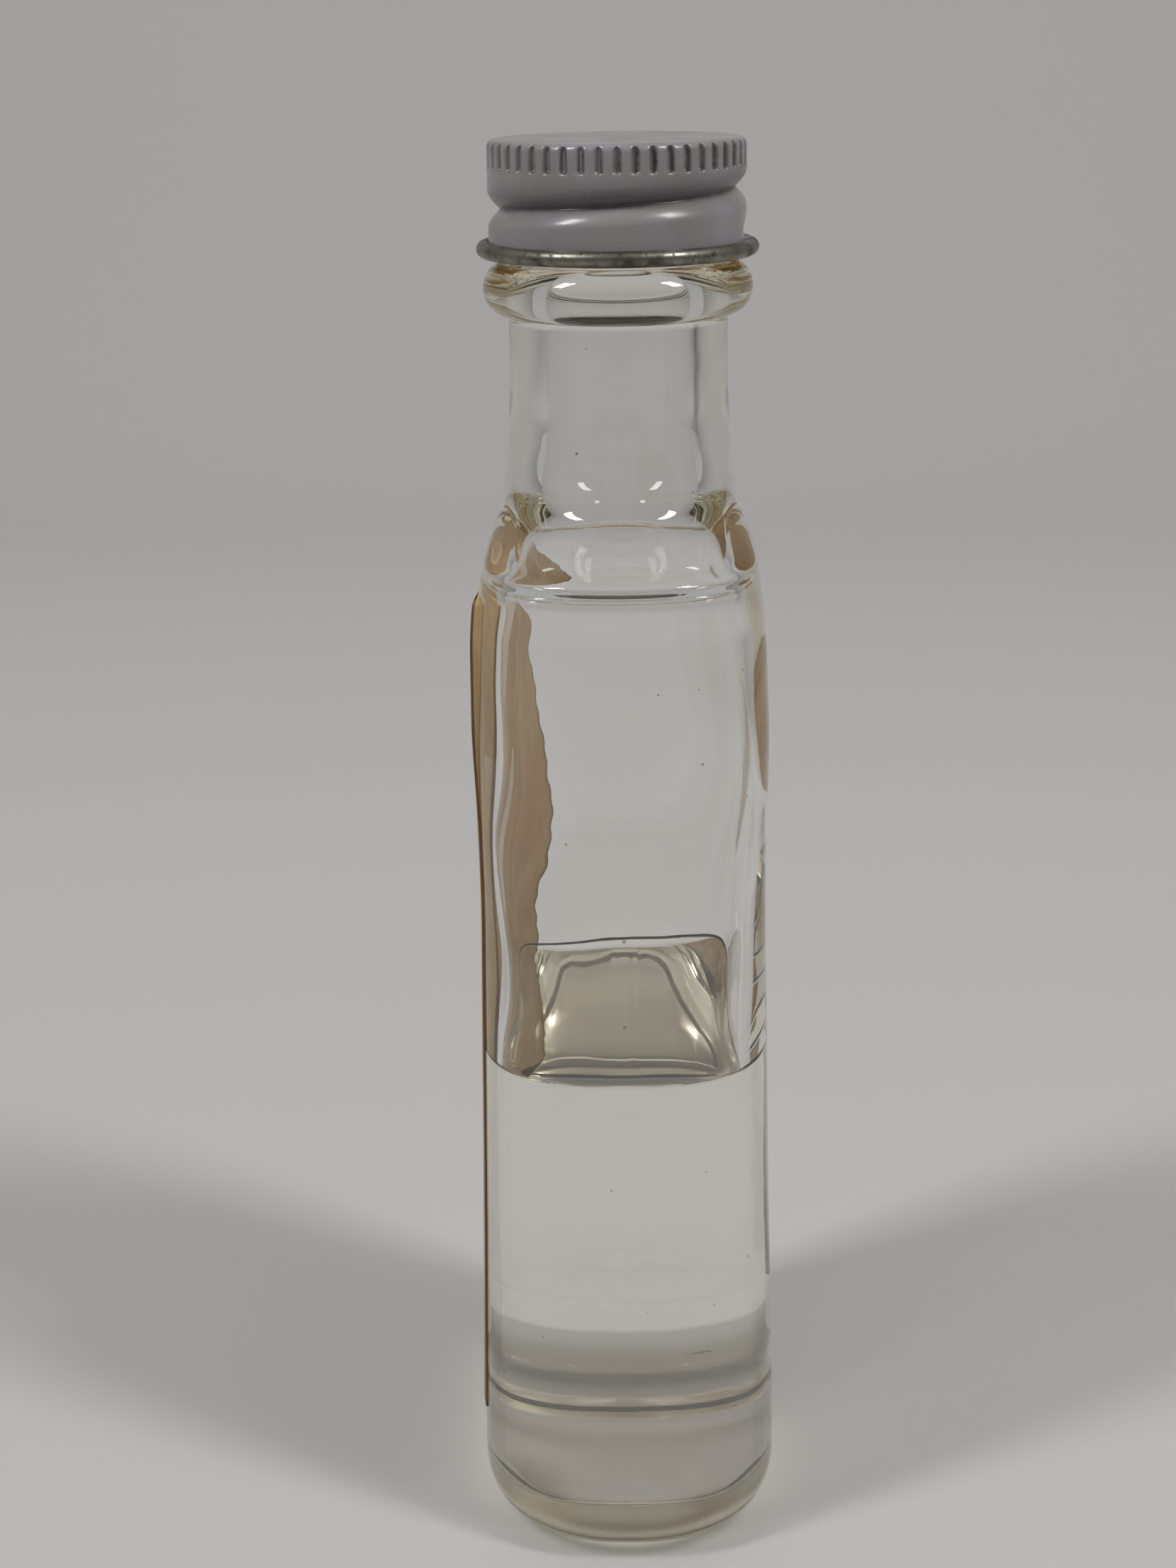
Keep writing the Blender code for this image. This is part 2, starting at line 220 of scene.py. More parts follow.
for side in (-1, 1):
    lamp_data = bpy.data.lights.new("soft_lamp", "AREA")
    lamp_data.shape = "RECTANGLE"
    lamp_data.size = LAMP_WIDTH
    lamp_data.size_y = LAMP_HEIGHT
    lamp_data.energy = LAMP_POWER
    lamp = bpy.data.objects.new("soft_lamp", lamp_data)
    aim = Matrix.Rotation(side * LAMP_TURN, 4, "Z") @ Matrix.Rotation(
        math.pi / 2 - LAMP_RISE, 4, "X"
    )
    lamp.matrix_world = (
        Matrix.Translation((0, 0, AIM_HEIGHT)) @ aim @ Matrix.Translation((0, 0, LAMP_DISTANCE))
    )
    bpy.context.scene.collection.objects.link(lamp)

world = bpy.data.worlds.new("room")
world.use_nodes = True
tree = world.node_tree
tree.nodes.clear()
direction = add(tree, "ShaderNodeTexCoord").outputs["Generated"]
split = add(tree, "ShaderNodeSeparateXYZ", links={0: direction})
depth = add(
    tree,
    "ShaderNodeMapRange",
    {"interpolation_type": "SMOOTHSTEP"},
    {"From Min": ROOM_DARKEST_AT, "From Max": ROOM_PALEST_AT, "To Min": ROOM_DARKEST_SHARE},
    {"Value": split.outputs["Y"]},
)
room = add(
    tree,
    "ShaderNodeMix",
    {"data_type": "RGBA"},
    {6: (0, 0, 0, 1), 7: linear(ROOM_TONE)},
    {0: depth.outputs[0]},
)
sky = add(tree, "ShaderNodeBackground", links={0: room.outputs[2]})
add(tree, "ShaderNodeOutputWorld", links={0: sky.outputs[0]})
bpy.context.scene.world = world

# The bottle is one piece of flint glass, blown in a two-part mould: a flat body with rounded
# narrow ends, a ledge under the shoulder, a round neck, a collar ring and a screw finish.
GLASS_SIDES = 168
OUTSIDE_POWER = 2.2
INSIDE_POWER = 3.1
FLAT_CORNER = math.radians(22.5)
END_ROUNDNESS_SHARE = 0.9
CORNER_SOFTNESS = math.radians(14)
FLAT_AT_SHARE = 0.6
MIDDLE_SHARE = 0.02
PUSH_UP = 0.7 * MM
HEEL_RADIUS = 5.2 * MM
BEARING_WIDTH = 1.3 * MM
HEEL_HALF_WIDTH = 12.9 * MM
HEEL_HALF_DEPTH = 19.75 * MM
NECK_RADIUS = 8.85 * MM
COLLAR_FOOT = 104.4 * MM
COLLAR_TOP = 108.7 * MM
COLLAR_REACH = 2.0 * MM
RIM = 116.55 * MM
LIP_ROUNDING = 0.7 * MM
BORE_RADIUS = 5.9 * MM
GLASS_FLOOR = 4.6 * MM
HOLLOW_HEEL_RADIUS = 1.6 * MM
THREAD_PITCH = 3.175 * MM
THREAD_REACH = 0.87 * MM
THREAD_WIDTH = 2.3 * MM
THREAD_START = RIM - 1.9 * MM
THREAD_START_ANGLE = math.radians(-100)
THREAD_TURNS = 1.1
FADE_TURNS = 0.1

# The joints of the mould stand proud as fine lines: one up each narrow end, and one round the
# foot. The near end of the real foot shows none, so that one is drawn at the far end alone, where
# it is a guess.
SEAM_REACH = 0.05 * MM
SEAM_WIDTH = 0.25 * MM
FOOT_SEAM_HEIGHT = 10.6 * MM
FOOT_SEAM_REACH = 0.09 * MM
FOOT_SEAM_WIDTH = 0.22 * MM
FOOT_SEAM_WANDER = 0.35 * MM
FOOT_SEAM_WAVES = (7, 17, 41)
FOOT_SEAM_NARROWING = 3

# Blown glass is uneven inside. These waves are invented: each one's height, its length up the
# wall, its turns round it and its phase
WAVES = (
    (0.34 * MM, 52 * MM, 2, 0.6),
    (0.24 * MM, 31 * MM, 3, 2.1),
    (0.12 * MM, 17 * MM, 5, 4.0),
)
WAVES_START = 14 * MM
WAVES_END = 84 * MM
WAVES_FADE = 14 * MM
CALM_ENDS_POWER = 8

# Height, half width and half depth of the outside from the heel to the neck, in millimetres
OUTSIDE = (
    (5.2, 12.9, 19.75),
    (7.9, 12.9, 19.73),
    (16.5, 12.73, 19.68),
    (27.7, 12.42, 19.62),
    (38.5, 12.19, 19.56),
    (49.0, 12.0, 19.5),
    (57.9, 11.85, 19.45),
    (64.1, 11.93, 19.42),
    (71.4, 12.05, 19.38),
    (76.1, 11.87, 19.35),
    (80.9, 11.63, 19.32),
    (84.3, 11.2, 19.3),
    (85.0, 11.06, 19.36),
    (85.9, 10.95, 19.68),
    (86.25, 10.87, 19.45),
    (86.6, 10.76, 18.8),
    (87.0, 10.61, 17.4),
    (87.4, 10.45, 15.6),
    (87.8, 10.29, 13.9),
    (88.2, 10.14, 12.5),
    (88.7, 9.97, 11.3),
    (89.3, 9.77, 10.45),
    (90.0, 9.58, 9.95),
    (90.9, 9.4, 9.6),
    (92.0, 9.25, 9.36),
    (93.4, 9.14, 9.2),
    (95.0, 9.04, 9.06),
    (97.0, 8.94, 8.94),
    (98.5, 8.88, 8.88),
    (104.4, 8.85, 8.85),
)

# The same for the hollow, from the top of its rounded heel up into the bore
INSIDE = (
    (6.2, 10.8, 17.1),
    (27.7, 10.3, 16.6),
    (57.9, 9.75, 16.2),
    (71.4, 9.95, 16.2),
    (80.9, 9.55, 16.2),
    (84.0, 9.1, 16.5),
    (84.8, 8.95, 16.3),
    (85.5, 8.75, 15.8),
    (86.2, 8.5, 14.7),
    (86.8, 8.25, 13.2),
    (87.4, 8.0, 11.5),
    (88.0, 7.75, 10.1),
    (88.8, 7.4, 8.8),
    (89.8, 7.0, 7.7),
    (91.0, 6.6, 6.9),
    (92.5, 6.25, 6.35),
    (94.5, 6.0, 6.05),
    (97.0, 5.9, 5.9),
    (104.4, 5.9, 5.9),
)

# How many rings each part of the glass has. Up the body they come in runs, each with its start,
# its end and its count: they are closest round the foot seam and at the shoulder.
BODY_RUNS = (
    (HEEL_RADIUS, 9.5 * MM, 8),
    (9.5 * MM, 12 * MM, 26),
    (12 * MM, 84 * MM, 80),
    (84 * MM, 92 * MM, 66),
    (92 * MM, COLLAR_FOOT, 24),
)
PUSH_UP_RINGS = 16
HEEL_RINGS = 18
COLLAR_RINGS = 26
FINISH_RINGS = 42
LIP_RINGS = 6
BORE_RINGS = 12
HOLLOW_RINGS = 230
HOLLOW_FLOOR_RINGS = 8
HOLLOW_HEEL_RINGS = 16


def smooth_through(table, heights):
    """Columns of a table in millimetres as smooth curves of its first column, in metres: cubic
    pieces whose slope at each row is the weighted mean of the slopes on both sides of it, or
    nought where those differ in sign."""
    rows = np.array(table) * MM
    at, values = rows[:, 0], rows[:, 1:]
    steps = np.diff(at)[:, None]
    slopes = np.diff(values, axis=0) / steps
    inner = (slopes[:-1] * steps[1:] + slopes[1:] * steps[:-1]) / (steps[:-1] + steps[1:])
    inner = np.where(slopes[:-1] * slopes[1:] > 0, inner, 0)
    tangents = np.concatenate([slopes[:1], inner, slopes[-1:]])
    index = np.clip(np.searchsorted(at, heights, side="right") - 1, 0, len(at) - 2)
    step = steps[index]
    t = ((heights - at[index]) / step[:, 0])[:, None]
    return (
        values[index] * (2 * t**3 - 3 * t**2 + 1)
        + values[index + 1] * (3 * t**2 - 2 * t**3)
        + tangents[index] * step * (t**3 - 2 * t**2 + t)
        + tangents[index + 1] * step * (t**3 - t**2)
    )


def ease(share):
    """Half a cosine from 0 to 1, level at both ends."""
    return (1 - np.cos(np.pi * np.clip(share, 0, 1))) / 2


def flat_rings(heights, half_width, half_depth, angle, power=2.0):
    """Level rings of the bottle, one for each height. A ring is the curve on which the cosine and
    the sine, each to the given power, add up to one. It is pressed to END_ROUNDNESS_SHARE along
    Y, and its two ends are drawn apart to the ring's depth. Angles less than about FLAT_CORNER
    from X lie on the straight sides between them, and CORNER_SOFTNESS eases one into the other.
    Where a ring is as deep as it is wide, it is a circle."""
    width, deep = half_width[:, None], half_depth[:, None]
    flatness = ease((deep / width - 1) / FLAT_AT_SHARE)
    roundness = 1 - (1 - END_ROUNDNESS_SHARE) * flatness
    lean = np.arcsin(np.sin(angle))[None, :]
    reach = np.abs(lean) - FLAT_CORNER
    full = math.pi / 2 - FLAT_CORNER
    start = FLAT_CORNER - math.hypot(FLAT_CORNER, CORNER_SOFTNESS)
    past = reach + np.hypot(reach, CORNER_SOFTNESS) + start
    past = past / (full + math.hypot(full, CORNER_SOFTNESS) + start)
    bent = np.sign(lean) * past * math.pi / 2
    slide = np.sign(lean) * (np.abs(lean) - past * full) / FLAT_CORNER
    turned = lean + (bent - lean) * flatness
    p = 2 + (power - 2) * flatness
    far = (np.abs(np.cos(turned)) ** p + np.abs(np.sin(turned)) ** p) ** (-1 / p)
    x = width * far * np.cos(turned) * np.where(np.cos(angle) < 0, -1, 1)
    y = roundness * width * far * np.sin(turned)
    y = y + (deep - roundness * width) * slide
    return np.stack(np.broadcast_arrays(x, y, heights[:, None]), axis=-1)


def thread_relief(heights, angle):
    """How much of the thread's relief, 0 to 1, each point of level rings has: one wave of a
    cosine across its width, round a line that runs down clockwise, seen from above. It fades at
    both ends."""
    relief = np.zeros((len(heights), len(angle)))
    for lap in range(math.ceil(THREAD_TURNS) + 1):
        gone = ((THREAD_START_ANGLE - angle) / (2 * math.pi) % 1 + lap)[None, :]
        off = (heights[:, None] - THREAD_START + THREAD_PITCH * gone) / THREAD_WIDTH
        bump = (1 + np.cos(2 * np.pi * np.clip(off, -0.5, 0.5))) / 2
        fade = ease(gone / FADE_TURNS) * ease((THREAD_TURNS - gone) / FADE_TURNS)
        relief = np.maximum(relief, bump * fade)
    return relief


def outside_of_glass(angle):
    """Rings of the outside: pushed-up base, bearing, rounded heel, body, shoulder, neck, collar,
    screw finish and lip. The base is a parabola, the heel and the lip are quarter circles and the
    collar is half a sine wave. The thread and the seams are added along each point's radius."""
    push = np.linspace(MIDDLE_SHARE, 1, PUSH_UP_RINGS)
    heel = np.linspace(0, math.pi / 2, HEEL_RINGS)
    body = np.concatenate([np.linspace(*run)[1:] for run in BODY_RUNS])
    sizes = smooth_through(OUTSIDE, body)
    bulge = np.linspace(0, math.pi, COLLAR_RINGS)
    finish = np.linspace(COLLAR_TOP, RIM - LIP_ROUNDING, FINISH_RINGS)[1:]
    lip = np.linspace(0, math.pi / 2, LIP_RINGS)[1:]
    heights = np.concatenate(
        [
            PUSH_UP * (1 - push**2),
            HEEL_RADIUS * (1 - np.cos(heel)),
            body,
            COLLAR_FOOT + (COLLAR_TOP - COLLAR_FOOT) * (1 - np.cos(bulge)) / 2,
            finish,
            RIM - LIP_ROUNDING * (1 - np.sin(lip)),
        ]
    )
    base_inset = HEEL_RADIUS + BEARING_WIDTH
    heel_inset = HEEL_RADIUS * (1 - np.sin(heel))
    above_body = [
        NECK_RADIUS + COLLAR_REACH * np.sin(bulge),
        np.full(len(finish), NECK_RADIUS),
        NECK_RADIUS - LIP_ROUNDING * (1 - np.cos(lip)),
    ]
    widths, depths = (
        np.concatenate([(half - base_inset) * push, half - heel_inset, size, *above_body])
        for half, size in zip((HEEL_HALF_WIDTH, HEEL_HALF_DEPTH), sizes.T)
    )
    grid = flat_rings(heights, widths, depths, angle, OUTSIDE_POWER)
    relief = np.where((heights > COLLAR_TOP)[:, None], thread_relief(heights, angle), 0)
    radius = np.hypot(grid[..., 0], grid[..., 1])
    ends = np.exp(-((grid[..., 0] / SEAM_WIDTH) ** 2))
    ends = ends * ((heights > HEEL_RADIUS) & (heights < COLLAR_FOOT))[:, None]
    wander = sum(np.sin(angle * wave + wave) for wave in FOOT_SEAM_WAVES) / len(FOOT_SEAM_WAVES)
    off = heights[:, None] - FOOT_SEAM_HEIGHT - FOOT_SEAM_WANDER * wander[None, :]
    far_end = np.clip(np.sin(angle), 0, 1) ** FOOT_SEAM_NARROWING
    foot = np.exp(-((off / FOOT_SEAM_WIDTH) ** 2)) * far_end
    proud = THREAD_REACH * relief + SEAM_REACH * ends + FOOT_SEAM_REACH * foot
    grid[..., :2] *= (1 + proud / radius)[..., None]
    return grid


def uneven(grid, angle):
    """Moves the hollow's wall in and out by a sum of slow waves up and round it. They fade out at
    the middle of the narrow ends, at the foot and at the shoulder."""
    heights = grid[..., 2]
    wave = sum(
        height * np.sin(2 * np.pi * heights / length + turns * angle[None, :] + phase)
        for height, length, turns, phase in WAVES
    )
    fade = ease((heights - WAVES_START) / WAVES_FADE) * ease((WAVES_END - heights) / WAVES_FADE)
    fade = fade * (1 - np.abs(np.sin(angle))[None, :] ** CALM_ENDS_POWER)
    radius = np.hypot(grid[..., 0], grid[..., 1])
    grid[..., :2] *= (1 + wave * fade / radius)[..., None]
    return grid


def hollow(angle, top, wall_rings, grow=0.0):
    """Rings of the hollow from the middle of its flat floor, round its quarter-circle heel and up
    its wall to a height. The same rings, grown a little, are the contents."""
    floor = np.linspace(MIDDLE_SHARE, 1, HOLLOW_FLOOR_RINGS)[:-1]
    heel = np.linspace(0, math.pi / 2, HOLLOW_HEEL_RINGS)
    base = GLASS_FLOOR + HOLLOW_HEEL_RADIUS
    body = np.linspace(base, top, wall_rings)[1:]
    heights = np.concatenate(
        [
            np.full(len(floor), GLASS_FLOOR - grow),
            base - (HOLLOW_HEEL_RADIUS + grow) * np.cos(heel),
            body,
        ]
    )
    heel_inset = HOLLOW_HEEL_RADIUS * (1 - np.sin(heel))
    widths, depths = (
        np.concatenate([floor * (foot - HOLLOW_HEEL_RADIUS), foot - heel_inset, size]) + grow
        for foot, size in zip(np.array(INSIDE[0][1:]) * MM, smooth_through(INSIDE, body).T)
    )
    return uneven(flat_rings(heights, widths, depths, angle, INSIDE_POWER), angle)


# The glass is one skin: up the outside, over the lip, down the bore and down the hollow's wall
glass_angle = np.linspace(0, 2 * math.pi, GLASS_SIDES + 1)[:-1]
bore = np.linspace(RIM - LIP_ROUNDING, COLLAR_FOOT, BORE_RINGS)[1:-1]
lip = np.linspace(0, math.pi / 2, LIP_RINGS)[1:]
bore_heights = np.concatenate([RIM - LIP_ROUNDING * (1 - np.cos(lip)), bore])
bore_radii = np.concatenate(
    [BORE_RADIUS + LIP_ROUNDING * (1 - np.sin(lip)), np.full(len(bore), BORE_RADIUS)]
)
glass_grid = np.concatenate(
    [
        outside_of_glass(glass_angle),
        flat_rings(bore_heights, bore_radii, bore_radii, glass_angle),
        hollow(glass_angle, COLLAR_FOOT, HOLLOW_RINGS)[::-1],
    ]
)

# The glass is tinted dark in three places. An olive band above the base and a dark edge under the
# near heel are painted shade: they stand for the shaded table behind and under the base, which
# this smooth glass doesn't show as dark. Their causes aren't known: they may be uneven glass, a
# mould seam and shade. A dark line is also tinted down the right front of the neck.
BAND_FOOT = GLASS_FLOOR - 0.1 * MM
BAND_TOP = 8.4 * MM
BAND_START = 12 * MM
BAND_FADE = 2 * MM
BAND_STRENGTH = 0.55
BAND_FOOT_STRENGTH = 0.35
BAND_FOOT_FADE = 3 * MM
HOLLOW_SHARE = 0.92
HEEL_TINT_TOP = 6.5 * MM
HEEL_TINT_SHARE = 0.86
HEEL_TINT_STRENGTH = 0.9
NECK_LINE_ANGLE = math.radians(360 - 47)
NECK_LINE_WANDER = math.radians(0.35)
NECK_LINE_WAVES = (0.5 * MM, 1.3 * MM, 3.1 * MM)
NECK_LINE_WIDTH = math.radians(2.0)
NECK_LINE_FOOT = 92 * MM
NECK_LINE_FADE = 6 * MM
NECK_LINE_SHARE = 0.9

glass_x, glass_y, glass_z = np.moveaxis(glass_grid, -1, 0)
from_axis = np.hypot(glass_x / HEEL_HALF_WIDTH, glass_y / HEEL_HALF_DEPTH)
in_band = (glass_z > BAND_FOOT) & (glass_z < BAND_TOP) & (from_axis < HOLLOW_SHARE)
shade_band = np.where(in_band, ease((glass_y - BAND_START) / BAND_FADE), 0)
shade_band = shade_band * (BAND_STRENGTH + BAND_FOOT_STRENGTH * ease((BAND_TOP - glass_z) / BAND_FOOT_FADE))
heel_shade = ease((HEEL_TINT_TOP - glass_z) / HEEL_TINT_TOP) * (from_axis > HEEL_TINT_SHARE)
heel_shade = HEEL_TINT_STRENGTH * heel_shade * ease(-glass_y / HEEL_HALF_DEPTH)
line_angle = NECK_LINE_ANGLE + NECK_LINE_WANDER * sum(
    np.sin(glass_z[:, 0] / wave) for wave in NECK_LINE_WAVES
)
off = np.abs(glass_angle[None, :] - line_angle[:, None]) / NECK_LINE_WIDTH
on_neck = ease((glass_z - NECK_LINE_FOOT) / NECK_LINE_FADE) * (glass_z < COLLAR_FOOT)
on_neck = on_neck * (np.hypot(glass_x, glass_y) > NECK_RADIUS * NECK_LINE_SHARE)
neck_line = np.exp(-(off**2)) * on_neck
tinted = np.maximum(np.maximum(shade_band, heel_shade), neck_line)

# Fire-polished soda-lime glass: clear, faintly olive where it is thick, slightly wavy from the
# mould, with seeds and dust that show as dots, and finger marks that dull it a little. It is
# duller where the heel has worn.
RIPPLE_SPACING = 5 * MM
RIPPLE_HEIGHT = 0.05 * MM
SEED_SPACING = 3.2 * MM
SEED_COLOUR = "8d8273"
FINGER_MARK_SIZE = 9 * MM
FINGER_MARK_ROUGHNESS = 0.06
HEEL_WEAR_TOP = 3.2 * MM
HEEL_WEAR_FULL = 0.6 * MM
HEEL_WEAR_ROUGHNESS = 0.2
TINT_COLOUR = "6b6550"
GLASS_IOR = 1.52
GLASS_SHADOW = "c0c0bc"
GLASS_DEPTH_COLOUR = (0.78, 0.68, 0.32, 1)
GLASS_DEPTH_DENSITY = 16.0

flint_glass, tree, output = new_material("flint_glass")
place = add(tree, "ShaderNodeTexCoord").outputs["Object"]
ripples = add(
    tree,
    "ShaderNodeTexNoise",
    values={"Scale": 1 / RIPPLE_SPACING, "Detail": 2, "Roughness": 0.4},
    links={"Vector": place},
)
glass_bump = add(
    tree,
    "ShaderNodeBump",
    values={"Strength": 0.3, "Distance": RIPPLE_HEIGHT},
    links={"Height": ripples.outputs[0]},
)
seeds = add(
    tree,
    "ShaderNodeTexVoronoi",
    values={"Scale": 1 / SEED_SPACING},
    links={"Vector": place},
)
seed_size = add(tree, "ShaderNodeSeparateColor", links={0: seeds.outputs["Color"]})
seed_reach = add(
    tree,
    "ShaderNodeMapRange",
    values={"From Min": 0.6, "From Max": 1.0, "To Min": 0.0, "To Max": 0.05},
    links={"Value": seed_size.outputs[0]},
)
seed_share = add(
    tree,
    "ShaderNodeMath",
    {"operation": "LESS_THAN"},
    links={0: seeds.outputs["Distance"], 1: seed_reach.outputs[0]},
)
glass_tone = add(
    tree,
    "ShaderNodeMix",
    {"data_type": "RGBA"},
    {6: (1, 1, 1, 1), 7: linear(SEED_COLOUR)},
    {0: seed_share.outputs[0]},
)
finger_marks = add(
    tree,
    "ShaderNodeTexNoise",
    values={"Scale": 1 / FINGER_MARK_SIZE, "Detail": 4, "Roughness": 0.6},
    links={"Vector": place},
)
glass_gloss = add(
    tree,
    "ShaderNodeMapRange",
    values={"From Min": 0.6, "From Max": 0.8, "To Min": 0.0, "To Max": FINGER_MARK_ROUGHNESS},
    links={"Value": finger_marks.outputs[0]},
)
split = add(tree, "ShaderNodeSeparateXYZ", links={0: place})
heel_wear = add(
    tree,
    "ShaderNodeMapRange",
    {"interpolation_type": "SMOOTHSTEP"},
    {"From Min": HEEL_WEAR_TOP, "From Max": HEEL_WEAR_FULL},
    {"Value": split.outputs["Z"]},
)
glass_roughness = add(
    tree,
    "ShaderNodeMath",
    {"operation": "MULTIPLY_ADD"},
    {1: HEEL_WEAR_ROUGHNESS},
    {0: heel_wear.outputs[0], 2: glass_gloss.outputs[0]},
)
# The tint attribute darkens the glass: painted shade at the band and the near heel, and a dark line
# down the neck
tint_mark = add(tree, "ShaderNodeAttribute", {"attribute_name": "tint"})
toned = add(
    tree,
    "ShaderNodeMix",
    {"data_type": "RGBA"},
    {7: linear(TINT_COLOUR)},
    {0: tint_mark.outputs["Fac"], 6: glass_tone.outputs[2]},
)
glass_shader = add(
    tree,
    "ShaderNodeBsdfPrincipled",
    values={"IOR": GLASS_IOR, "Transmission Weight": 1.0},
    links={
        "Base Color": toned.outputs[2],
        "Roughness": glass_roughness.outputs[0],
        "Normal": glass_bump.outputs[0],
    },
)
lamp_way = add(tree, "ShaderNodeBsdfTransparent", values={0: linear(GLASS_SHADOW)})
ray = add(tree, "ShaderNodeLightPath")
glass_mix = add(
    tree,
    "ShaderNodeMixShader",
    links={0: ray.outputs["Is Shadow Ray"], 1: glass_shader.outputs[0], 2: lamp_way.outputs[0]},
)
glass_depth = add(
    tree,
    "ShaderNodeVolumeAbsorption",
    values={"Color": GLASS_DEPTH_COLOUR, "Density": GLASS_DEPTH_DENSITY},
)
tree.links.new(glass_mix.outputs[0], output.inputs["Surface"])
tree.links.new(glass_depth.outputs[0], output.inputs["Volume"])
glass = surface("glass_body", glass_grid, flint_glass, marks={"tint": tinted})
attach(glass, "bottle")
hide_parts("glass_bottle")

# The contents are a thin, faintly yellow liquid that wets the glass and climbs it a little at the
# edge. Its sides reach a hair into the glass, so that no air shows between the two.
LIQUID_LEVEL = 43.9 * MM
LIQUID_OVERLAP = 0.04 * MM
LIQUID_SIDES = 144
LIQUID_WALL_RINGS = 80
LIQUID_TOP_RINGS = 26
LIQUID_TOP_CROWDING = 1.6
MENISCUS = 0.45 * MM
MENISCUS_REACH = 0.6 * MM

# Its top is the wall's last ring, drawn in to the middle in rings that are closest at the wall. It
# rises towards the glass by the exponential of minus the distance.
liquid_angle = np.linspace(0, 2 * math.pi, LIQUID_SIDES + 1)[:-1]
liquid_wall = hollow(liquid_angle, LIQUID_LEVEL + MENISCUS, LIQUID_WALL_RINGS, LIQUID_OVERLAP)
inward = np.linspace(0, 1, LIQUID_TOP_RINGS)[1:]
top_ring = liquid_wall[-1]
reach = 1 - (1 - MIDDLE_SHARE) * inward**LIQUID_TOP_CROWDING
top = top_ring[None] * reach[:, None, None]
from_wall = np.linalg.norm(top_ring[None, :, :2] - top[..., :2], axis=-1)
top[..., 2] = LIQUID_LEVEL + MENISCUS * np.exp(-from_wall / MENISCUS_REACH)
liquid_grid = np.concatenate([liquid_wall, top])

# Water and alcohol with a little flavouring oil: clear, faintly straw-coloured, with a few fine
# motes on its surface
MOTE_SPACING = 2.6 * MM
MOTE_SHARE = 0.035
MOTE_COLOUR = "a99c80"
LIQUID_IOR = 1.385
LIQUID_SHADOW = "f4f3ee"
LIQUID_DEPTH_COLOUR = (0.8, 0.5, 0.1, 1)
LIQUID_DEPTH_DENSITY = 2.0

extract, tree, output = new_material("clear_extract")
place = add(tree, "ShaderNodeTexCoord").outputs["Object"]
motes = add(
    tree,
    "ShaderNodeTexVoronoi",
    values={"Scale": 1 / MOTE_SPACING},
    links={"Vector": place},
)
mote_share = add(
    tree,
    "ShaderNodeMath",
    {"operation": "LESS_THAN"},
    values={1: MOTE_SHARE},
    links={0: motes.outputs["Distance"]},
)
extract_tone = add(
    tree,
    "ShaderNodeMix",
    {"data_type": "RGBA"},
    {6: (1, 1, 1, 1), 7: linear(MOTE_COLOUR)},
    {0: mote_share.outputs[0]},
)
extract_shader = add(
    tree,
    "ShaderNodeBsdfPrincipled",
    values={"Roughness": 0.0, "IOR": LIQUID_IOR, "Transmission Weight": 1.0},
    links={"Base Color": extract_tone.outputs[2]},
)
lamp_way = add(tree, "ShaderNodeBsdfTransparent", values={0: linear(LIQUID_SHADOW)})
ray = add(tree, "ShaderNodeLightPath")
extract_mix = add(
    tree,
    "ShaderNodeMixShader",
    links={0: ray.outputs["Is Shadow Ray"], 1: extract_shader.outputs[0], 2: lamp_way.outputs[0]},
)
extract_depth = add(
    tree,
    "ShaderNodeVolumeAbsorption",
    values={"Color": LIQUID_DEPTH_COLOUR, "Density": LIQUID_DEPTH_DENSITY},
)
tree.links.new(extract_mix.outputs[0], output.inputs["Surface"])
tree.links.new(extract_depth.outputs[0], output.inputs["Volume"])
contents = surface("contents", liquid_grid, extract)
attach(contents, "bottle")
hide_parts("extract_liquid")

# The label is one sheet of aged tan paper, glued to the left wide face. It starts at the front
# corner, and its far edge, worn and wavy, reaches round the far narrow end. Its front edge has
# lifted near the top.
LABEL_FOOT = 10.5 * MM
LABEL_TOP = 83.0 * MM
LABEL_FRONT = -11.05 * MM
LABEL_THICKNESS = 0.16 * MM
LABEL_SUNK = 0.03 * MM
LABEL_LIFT = 0.5 * MM
LABEL_LIFT_WIDTH = 3.0 * MM
LABEL_LIFT_FROM = 62 * MM
LABEL_WEAR = 0.3 * MM
LABEL_CUT_WEAR = 0.04 * MM
LABEL_WEAR_WAVES = (0.37, 0.9, 2.3)
LABEL_RINGS = 130
LABEL_STEPS = 96
LABEL_RING_POINTS = 900

# Where the far edge is, from the middle of the narrow end: its height and its X, in millimetres
LABEL_FAR_EDGE = (
    (10.5, -5.6),
    (37.0, -5.6),
    (44.7, -4.7),
    (52.0, -4.9),
    (66.0, -6.2),
    (74.0, -8.2),
    (78.0, -10.0),
    (83.0, -11.4),
)

label_height = np.linspace(LABEL_FOOT, LABEL_TOP, LABEL_RINGS)
label_sizes = smooth_through(OUTSIDE, label_height)


